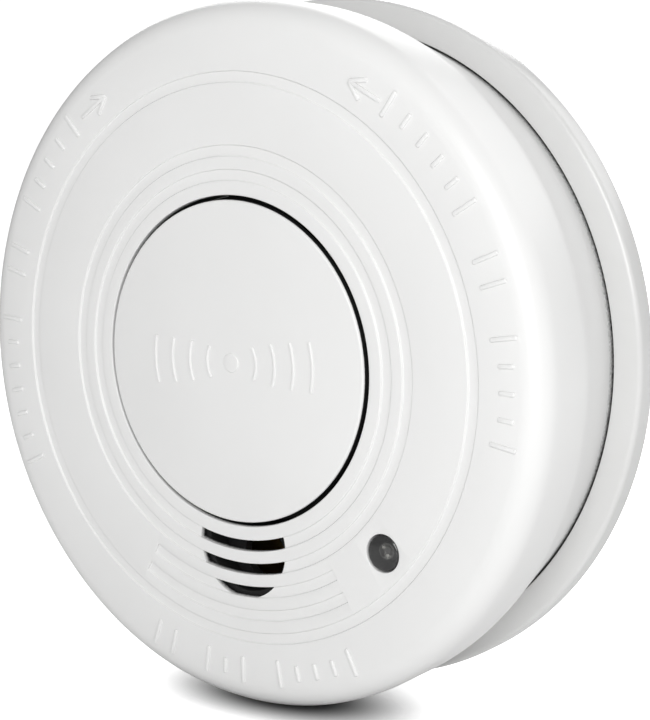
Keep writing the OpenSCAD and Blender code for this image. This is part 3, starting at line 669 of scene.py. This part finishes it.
def short_groove_cutter(i):
    """Cuts a groove that runs only through the lower part of the face, with flared lips."""
    radius = GROOVE_1 + i * GROOVE_PITCH
    half = GROOVE_W / 2
    flare, bed = 0.12, 0.16
    floor, above = FACE - GROOVE_DEPTH, FACE + CUT_PAST
    lip_low, lip_high = FACE - 0.04, FACE + 0.01
    outline = rounded([(radius - half + GROOVE_SLOPE, floor, bed),
                       (radius + half - GROOVE_SLOPE, floor, bed),
                       (radius + half, lip_low, 0), (radius + half + flare, lip_high, 0),
                       (radius + half + flare, above, 0), (radius - half - flare, above, 0),
                       (radius - half - flare, lip_high, 0), (radius - half, lip_low, 0)])
    return lathe("short_groove", outline, ARC_STEPS, start=DOWN - SHORT_GROOVE_HALF,
                 turn=2 * SHORT_GROOVE_HALF)


def slots_cutter():
    """Three curved bands, kept only inside the round of the port."""
    half = GROOVE_W / 2 - 0.02
    band_half = 45
    bands = []
    for i in SLOT_GROOVES:
        radius = GROOVE_1 + i * GROOVE_PITCH
        outline = ring_outline(radius - half, radius + half, FACE - WALL - CUT_PAST,
                               FACE + CUT_PAST, 0)
        bands.append(lathe("slot_band", outline, ARC_STEPS, start=DOWN - band_half,
                           turn=2 * band_half))
    outline = rod_outline(PORT_R, FACE - WALL - 2 * CUT_PAST, FACE + 2 * CUT_PAST, 0, 0)
    port = lathe("port", outline, FEATURE_STEPS, z=-GROOVE_1)
    return combine(join("slots", bands), port, "INTERSECT")


def led_hole_cutter():
    """Cuts the light's hole, with a small rounded flare at the face."""
    flare = 0.15
    low = FACE - WALL - CUT_PAST
    outline = [(0, low), (LED_HOLE_R, low), (LED_HOLE_R, FACE - flare),
               (LED_HOLE_R + flare * 0.12, FACE - flare * 0.45),
               (LED_HOLE_R + flare * 0.45, FACE - flare * 0.1),
               (LED_HOLE_R + flare, FACE + 0.01), (LED_HOLE_R + flare, FACE + CUT_PAST),
               (0, FACE + CUT_PAST)]
    return lathe("led_hole", outline, steps=72, x=LED_X, z=LED_Z)


def well_cutter(radius):
    """Keeps a piece out of the button's well."""
    depth = 8
    return lathe("well", rod_outline(radius, FACE - depth, FACE, 0, 0), FEATURE_STEPS)


def raised_bar(name, length, width, edge, **more):
    """A bar that stands MARK_HEIGHT above the face. more goes on to bar."""
    return bar(name, (length, MARK_HEIGHT * 2, width), out=FACE, edge=edge, **more)


def tick_marks():
    """Groups of raised ticks, long at the ends of a group, in the three bands that carried wording.

    A row is (angle of the first tick, angle from tick to tick, ticks in each group).
    """
    rows = [(130.5, 4.8, (5, 2, 7)), (51.0, -4.45, (6, 2, 5)), (247.5, 4.3, (2, 3, 5))]
    long_tick, short_tick, width, edge = 4.4, 2.6, 0.72, 0.26
    ticks = []
    for start, pitch, groups in rows:
        step = 0
        for size in groups:
            for k in range(size):
                length = long_tick if k in (0, size - 1) else short_tick
                tick = raised_bar("tick", length, width, edge, segments=3)
                place(tick, x=MARK_R, turn=start + pitch * step)
                ticks.append(tick)
                step += 1
            step += 1
    return ticks


def arrow_mark(turn, way):
    """A raised arrow along the rim. way is 1 for counter-clockwise, seen from the front."""
    stroke, edge = 0.7, 0.25
    shaft, barb, barb_turn = 6.3, 3.3, 29
    inset = 0.9
    parts = [raised_bar("arrow_shaft", stroke, shaft, edge, z=-way * shaft / 2)]
    for side in (-1, 1):
        head = raised_bar("arrow_barb", stroke, barb, edge, z=-way * barb / 2)
        place(head, turn=side * barb_turn)
        parts.append(head)
    arrow = join("arrow", parts)
    place(arrow, x=MARK_R - inset, turn=turn)
    return arrow


def well_spokes():
    """The cross at the bottom of the button's well, with the guide for the post in its middle."""
    hub_r, hub_bore, post_bore = 7.2, 5.7, 3.35
    hub_low = FLOOR_TOP - 6.8
    shelf = hub_low + 1.2
    floor_low = FLOOR_TOP - FLOOR_T
    edge, overlap, spoke_width, peg_hole = 0.2, 0.4, 6.0, 1.6
    hub = rounded([(post_bore, hub_low, edge), (hub_r, hub_low, 0.3), (hub_r, FLOOR_TOP, edge),
                   (hub_bore, FLOOR_TOP, edge), (hub_bore, shelf, edge),
                   (post_bore, shelf, edge)])
    parts = [lathe("hub", hub, FEATURE_STEPS)]
    inner, outer = hub_r - overlap, OPENING_R + overlap
    for turn in QUARTERS:
        spoke = bar("spoke", (outer - inner, FLOOR_T, spoke_width), (inner + outer) / 2,
                    (FLOOR_TOP + floor_low) / 2, edge=edge)
        if turn in (0, 180):
            outline = rod_outline(peg_hole, floor_low - CUT_PAST, FLOOR_TOP + CUT_PAST, 0, 0)
            combine(spoke, lathe("drill", outline, SMALL_STEPS, x=PEG_X), "DIFFERENCE")
        place(spoke, turn=turn)
        parts.append(spoke)
    return parts


def screw_bosses():
    bore_r = 1.45
    base, high = TAPER_END + 1.8, FACE - WALL + WELD
    outline = rounded([(bore_r, base, 0.2), (BOSS_R, base, 0.3), (BOSS_R, high, 0),
                       (bore_r, high, 0)])
    bosses = []
    for turn in BOSS_TURNS:
        boss = lathe("boss", outline, SMALL_STEPS)
        place(boss, x=BOSS_PLACE_R, turn=turn)
        bosses.append(boss)
    return bosses


def sounder_collar():
    """The ring behind the slots that the sounder sits in."""
    outline = ring_outline(PORT_ROOM_R, PORT_R + 1.3, SOUNDER_LOW, FACE - WALL + WELD, 0.15)
    collar = lathe("collar", outline, FEATURE_STEPS, z=-GROOVE_1)
    return combine(collar, well_cutter(OPENING_R + 0.9), "DIFFERENCE")


def make_shading_sounder_gasket():
    """Black foam ring that seals the sounder to the inside of the face, round the slots; its black
    also stands in for the shade seen in through the slots.
    """
    outline = ring_outline(PORT_R - 0.9, PORT_R + 0.05, SOUNDER_LOW, FACE - 1.5, 0.2)
    foam = lathe("shading_sounder_gasket", outline, FEATURE_STEPS, z=-GROOVE_1)
    combine(foam, well_cutter(OPENING_R + WELL_WALL + 0.1), "DIFFERENCE")
    hand_over(foam, "alarm_head", None, "black_mesh")


def make_front_cover():
    shell = cover_shell()
    shallow = [short_groove_cutter(i) for i in SHORT_GROOVES] + [led_hole_cutter()]
    combine(shell, join("shallow_cuts", shallow), "DIFFERENCE")
    combine(shell, slots_cutter(), "DIFFERENCE")
    slot_wall = 1.0
    outline = rod_outline(PORT_ROOM_R, FACE - WALL - CUT_PAST, FACE - GROOVE_DEPTH - slot_wall,
                          0, 0)
    pocket = lathe("pocket", outline, FEATURE_STEPS, z=-GROOVE_1)
    combine(pocket, well_cutter(OPENING_R + WELL_WALL), "DIFFERENCE")
    combine(shell, pocket, "DIFFERENCE")
    parts = [shell] + tick_marks() + [arrow_mark(120, -1), arrow_mark(60, 1)]
    parts += well_spokes() + screw_bosses() + [sounder_collar()]
    hand_over(join("front_cover_shell", parts), "alarm_head", "front_cover", "shell_white")


# ------------------------------------------------------------------ test button

def button_body():
    skirt_out, skirt_in = BUTTON_R - 0.95, BUTTON_R - 2.35
    low = BUTTON_TOP - BUTTON_T
    skirt_low = low - 1.4
    post_r, neck_r = 3.0, 2.3
    post_low = -BUTTON_HIGH[1]
    play = 0.05
    clip_low = -high_mm("button_clip")[1] - play
    clip_high = -low_mm("button_clip")[1] + play
    corners = [(0, BUTTON_TOP, 0), (BUTTON_R, BUTTON_TOP, 0.35), (BUTTON_R, low, 0.2),
               (skirt_out, low, 0.15), (skirt_out, skirt_low, 0.25), (skirt_in, skirt_low, 0.25),
               (skirt_in, low, 0.2), (post_r, low, 0.3), (post_r, clip_high, 0.05),
               (neck_r, clip_high, 0.05), (neck_r, clip_low, 0.05), (post_r, clip_low, 0.05),
               (post_r, post_low, 0.4), (0, post_low, 0)]
    return lathe("test_button_cap", rounded(corners, 5))


def sound_mark():
    """A raised dot with arcs on both sides, a plain sign for sound.

    A row is an arc's (radius, half of its angle).
    """
    dot_r, stroke, edge = 1.5, 0.55, 0.18
    sunk = 0.2
    low, high = BUTTON_TOP - sunk, BUTTON_TOP + SIGN_HEIGHT
    parts = [lathe("mark_dot", rod_outline(dot_r, low, high, 0, edge), SMALL_STEPS)]
    for radius, half in ((4.6, 30), (8.2, 22), (11.8, 17), (15.4, 14)):
        outline = rounded([(radius, low, 0), (radius + stroke, low, 0),
                           (radius + stroke, high, edge), (radius, high, edge)], 3)
        for side in (0, 180):
            parts.append(lathe("mark_arc", outline, steps=24, start=side - half, turn=2 * half))
    return parts


def button_underside():
    """Two guide pegs and six ribs."""
    low = BUTTON_TOP - BUTTON_T
    peg_r = 1.25
    outline = rod_outline(peg_r, FLOOR_TOP - 1.0, low + 0.2, 0.3, 0)
    parts = [lathe("peg", outline, steps=40, x=side * PEG_X) for side in (-1, 1)]
    inner, outer = 6.3, BUTTON_R - 1.6
    rib_height, rib_width = 1.3, 1.2
    for turn in range(30, 360, 60):
        rib = bar("rib", (outer - inner, rib_height, rib_width), (inner + outer) / 2, low - 0.55,
                  edge=0.15)
        place(rib, turn=turn)
        parts.append(rib)
    return parts


def make_test_button():
    cap = join("test_button_cap", [button_body()] + sound_mark() + button_underside())
    hand_over(cap, "push_button", "test_button", "button_white")


def make_button_spring():
    """The return spring, wound from round wire."""
    low, high = -high_mm("button_spring")[1], -low_mm("button_spring")[1]
    wire, turns, turn_steps = 0.3, 5, 40
    coil_r = high_mm("button_spring")[0] - wire
    clear_selection()
    bpy.ops.mesh.primitive_circle_add(vertices=14, radius=wire * MM,
                                      location=(coil_r * MM, -(low + wire) * MM, 0))
    spring = bpy.context.object
    spring.name = "button_spring_coil"
    bpy.ops.object.transform_apply(location=True)
    coil = spring.modifiers.new("coil", "SCREW")
    coil.axis = "Y"
    coil.steps = turn_steps
    coil.render_steps = turn_steps
    coil.iterations = turns
    coil.screw_offset = -(high - low - 2 * wire) / turns * MM
    apply_modifier(spring, coil)
    bpy.ops.object.mode_set(mode="EDIT")
    bpy.ops.mesh.select_all(action="SELECT")
    bpy.ops.mesh.remove_doubles(threshold=MERGE_DISTANCE * MM)
    bpy.ops.mesh.fill_holes(sides=0)
    bpy.ops.mesh.select_all(action="SELECT")
    bpy.ops.mesh.normals_make_consistent(inside=False)
    bpy.ops.object.mode_set(mode="OBJECT")
    hand_over(spring, "alarm_head", "button_spring", "tinned_wire", 60)
    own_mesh(spring)


# ------------------------------------------------------------------ mounting plate

def plate_disc():
    flange_in = BACK_R + 0.3
    corners = [(0, 0, 0), (PLATE_R, 0, 0.4), (PLATE_R, FLANGE_T, 0.8),
               (flange_in, FLANGE_T, 0.12), (flange_in, WEB_T, 0.2), (0, WEB_T, 0)]
    return lathe("mounting_plate_disc", rounded(corners, 6))


def back_pocket(inner, outer, spare):
    """A shallow pocket with drawn-in walls, cut from the back of the web.

    inner and outer are radii, and spare is the angle left to the next pocket at each side.
    """
    depth, draft, edge = 0.7, 0.15, 0.3
    outline = rounded([(inner, -CUT_PAST, 0), (outer, -CUT_PAST, 0), (outer - draft, depth, edge),
                       (inner + draft, depth, edge)], 3)
    return lathe("pocket", outline, steps=16, start=spare, turn=POCKET_STEP - 2 * spare)


def screw_slot_cutter(turn, reach):
    """A slot with round ends, cut along the line through the centre."""
    width, length = 4.4, 9.0
    half = (length - width) / 2
    high = 6
    slot = bar("slot_middle", (2 * half, high + CUT_PAST, width), 0, (high - CUT_PAST) / 2, edge=0)
    for side in (-1, 1):
        outline = rod_outline(width / 2, -CUT_PAST, high, 0, 0)
        combine(slot, lathe("slot_end", outline, SMALL_STEPS, x=side * half), "UNION")
    place(slot, x=reach, turn=turn)
    return slot


def twist_hooks():
    """The hooks that the chassis windows turn under. Each is a post with a tab at its top."""
    tab_out = CHASSIS_R - 1.85
    post_out = tab_out - 2.6
    post_in = post_out - 2
    post_low = 1.7
    tab_low, tab_high = -PLATE_LOW[1] - 1.4, -PLATE_LOW[1]
    outline = rounded([(post_in, post_low, 0), (post_out, post_low, 0), (post_out, tab_low, 0.15),
                       (tab_out, tab_low, 0.25), (tab_out, tab_high, 0.25),
                       (post_in, tab_high, 0.25)], 3)
    half = 4.5
    return [lathe("hook", outline, steps=12, start=turn - half, turn=2 * half)
            for turn in HOOK_TURNS]


def make_mounting_plate():
    plate = plate_disc()
    cutters = [screw_slot_cutter(turn, SCREW_REACH) for turn in QUARTERS]
    for turn in range(0, 360, POCKET_STEP):
        for row in POCKET_ROWS:
            pocket = back_pocket(*row)
            place(pocket, turn=turn)
            cutters.append(pocket)
    combine(plate, join("plate_cuts", cutters), "DIFFERENCE")
    plate = join("mounting_plate_disc", [plate] + twist_hooks())
    hand_over(plate, "mounting_base", "mounting_plate", "plate_white")


# ------------------------------------------------------------------ status light

def make_status_led():
    flange, flange_reach, bevel, dome = 1.0, 0.4, 0.1, 0.6
    dome_start = LED_TOP - dome
    corners = [(0, LED_BASE), (LED_R + 0.35, LED_BASE), (LED_R + flange_reach, LED_BASE + bevel),
               (LED_R + flange_reach, LED_BASE + flange - bevel),
               (LED_R + 0.3, LED_BASE + flange), (LED_R, LED_BASE + flange + 0.05)]
    steps = 18
    for k in range(steps):
        rise = math.pi / 2 * k / steps
        corners.append((LED_R * math.cos(rise), dome_start + dome * math.sin(rise)))
    corners.append((0, LED_TOP))
    lens = lathe("status_led_lens", corners, FEATURE_STEPS, x=LED_X, z=LED_Z)
    hand_over(lens, "alarm_head", "status_led", "smoky_lens")


def make_led_die():
    """The reflector cup on its post and the anvil beside it, inside the light."""
    low, high = LED_BASE + 1.2, LED_TOP - 2.6
    cup_low, bowl = high - 1.2, high - 0.7
    post_r, rim_out, rim_in, bowl_r = 0.8, 1.15, 0.95, 0.45
    outline = rounded([(0, low, 0), (post_r, low, 0.1), (post_r, cup_low, 0.1),
                       (rim_out, high, 0.05), (rim_in, high, 0.05), (bowl_r, bowl, 0.1),
                       (0, bowl, 0)], 3)
    cup = lathe("led_cup", outline, SMALL_STEPS, x=LED_X - 0.25, z=LED_Z)
    anvil_width, anvil_depth, anvil_place, edge = 0.5, 1.3, 1.25, 0.08
    anvil = bar("led_anvil", (anvil_width, high - low - 0.6, anvil_depth), LED_X + anvil_place,
                (low + high) / 2 - 0.3, LED_Z, edge)
    hand_over(join("led_die", [cup, anvil]), "alarm_head", None, "tinned_wire")


# ------------------------------------------------------------------ camera, light and floor

CAMERA_AZIMUTH = 37.36
CAMERA_ELEVATION = 7.36
CAMERA_ROLL = -2.3
CAMERA_DISTANCE = 0.27
CAMERA_AIM = Vector((0.0069, -0.0157, -0.0011))
CAMERA_LENS = 85.5
SENSOR_WIDTH = 36
ROOM_LIGHT = 0.35
BACKDROP_SEEN = 1.1
FLOOR_SIZE = 6
FLOOR_GLOW = 0.9


def towards(azimuth, elevation):
    """The unit vector from the origin to an eye at this azimuth and elevation, in degrees."""
    a, e = math.radians(azimuth), math.radians(elevation)
    return Vector((math.sin(a) * math.cos(e), -math.cos(a) * math.cos(e), math.sin(e)))


def looking_back(away):
    return away.to_track_quat("Z", "Y").to_matrix().to_4x4()


def make_camera():
    data = bpy.data.cameras.new("camera")
    data.lens = CAMERA_LENS
    data.sensor_width = SENSOR_WIDTH
    data.clip_start = 0.01
    camera = bpy.data.objects.new("camera", data)
    bpy.context.collection.objects.link(camera)
    away = towards(CAMERA_AZIMUTH, CAMERA_ELEVATION)
    roll = Matrix.Rotation(math.radians(CAMERA_ROLL), 4, "Z")
    eye = Matrix.Translation(CAMERA_AIM + away * CAMERA_DISTANCE)
    camera.matrix_world = eye @ looking_back(away) @ roll
    bpy.context.scene.camera = camera


def softbox(name, azimuth, elevation, distance, size, power):
    data = bpy.data.lights.new(name, "AREA")
    data.shape = "DISK"
    data.size = size
    data.energy = power
    light = bpy.data.objects.new(name, data)
    bpy.context.collection.objects.link(light)
    away = towards(azimuth, elevation)
    light.matrix_world = Matrix.Translation(away * distance) @ looking_back(away)


def brighter_to_the_eye(nodes, links, plain, seen):
    """The backdrop is overexposed: what is seen directly is brighter than the light it gives."""
    path = nodes.new("ShaderNodeLightPath")
    return spread(nodes, links, path.outputs["Is Camera Ray"], plain, seen)


def make_lights():
    world = bpy.data.worlds.new("studio")
    bpy.context.scene.world = world
    world.use_nodes = True
    nodes, links = world.node_tree.nodes, world.node_tree.links
    backdrop = nodes["Background"]
    backdrop.inputs["Color"].default_value = grey(1)
    links.new(brighter_to_the_eye(nodes, links, ROOM_LIGHT, BACKDROP_SEEN),
              backdrop.inputs["Strength"])
    softbox("key_softbox", azimuth=36, elevation=18, distance=0.5, size=0.3, power=1.65)
    softbox("rim_softbox", azimuth=150, elevation=40, distance=0.6, size=0.5, power=1.15)
    softbox("rear_softbox", azimuth=215, elevation=30, distance=0.8, size=0.6, power=2.2)


def painted_contact_shadow_mask(nodes, links, where):
    """Mask of the painted contact shadow: 0 on the floor where the head's rim comes down to it,
    rising softly to 1 all round.
    """
    half_x, half_y, middle_y = 35.0, 17.0, -20.0
    rise_start, rise_end = 0.2, 1.0
    shift = nodes.new("ShaderNodeMapping")
    shift.inputs["Location"].default_value = (0, -middle_y / half_y, 0)
    shift.inputs["Scale"].default_value = (1 / (half_x * MM), 1 / (half_y * MM), 0)
    links.new(where, shift.inputs["Vector"])
    reach = nodes.new("ShaderNodeVectorMath")
    reach.operation = "LENGTH"
    links.new(shift.outputs[0], reach.inputs[0])
    rise = nodes.new("ShaderNodeMapRange")
    rise.interpolation_type = "SMOOTHSTEP"
    rise.inputs["From Min"].default_value = rise_start
    rise.inputs["From Max"].default_value = rise_end
    links.new(reach.outputs["Value"], rise.inputs["Value"])
    return rise.outputs["Result"]


def make_floor():
    clear_selection()
    bpy.ops.mesh.primitive_plane_add(size=FLOOR_SIZE, location=(0, 0, cad_box[0][2]))
    floor = bpy.context.object
    floor.name = "floor"
    material, nodes, links, shader = new_material("floor_paper")
    where = object_coordinates(nodes)
    fibre = noise(nodes, links, where, scale=800.0, detail=3.0, roughness=0.6)
    # Painted contact shadow: the paper goes near-black under the head's rim, and its glow fades out
    # there too.
    paper_dark, paper_light, painted_contact_shadow = grey(0.84), grey(0.9), grey(0.06)
    paper = mixed(nodes, links, fibre, paper_dark, paper_light)
    outside_painted_shadow = painted_contact_shadow_mask(nodes, links, where)
    colour = mixed(nodes, links, outside_painted_shadow, painted_contact_shadow, paper)
    links.new(colour, shader.inputs["Base Color"])
    shader.inputs["Roughness"].default_value = 0.7
    shader.inputs["Emission Color"].default_value = grey(1)
    seen = brighter_to_the_eye(nodes, links, 0.0, FLOOR_GLOW)
    links.new(calc(nodes, links, "MULTIPLY", seen, outside_painted_shadow), shader.inputs["Emission Strength"])
    floor.data.materials.append(material)


bpy.context.scene.view_settings.view_transform = "Standard"
finish_frame_nodes()
make_front_cover()
make_test_button()
make_button_spring()
make_mounting_plate()
make_status_led()
make_led_die()
make_shading_sounder_gasket()
make_camera()
make_lights()
make_floor()
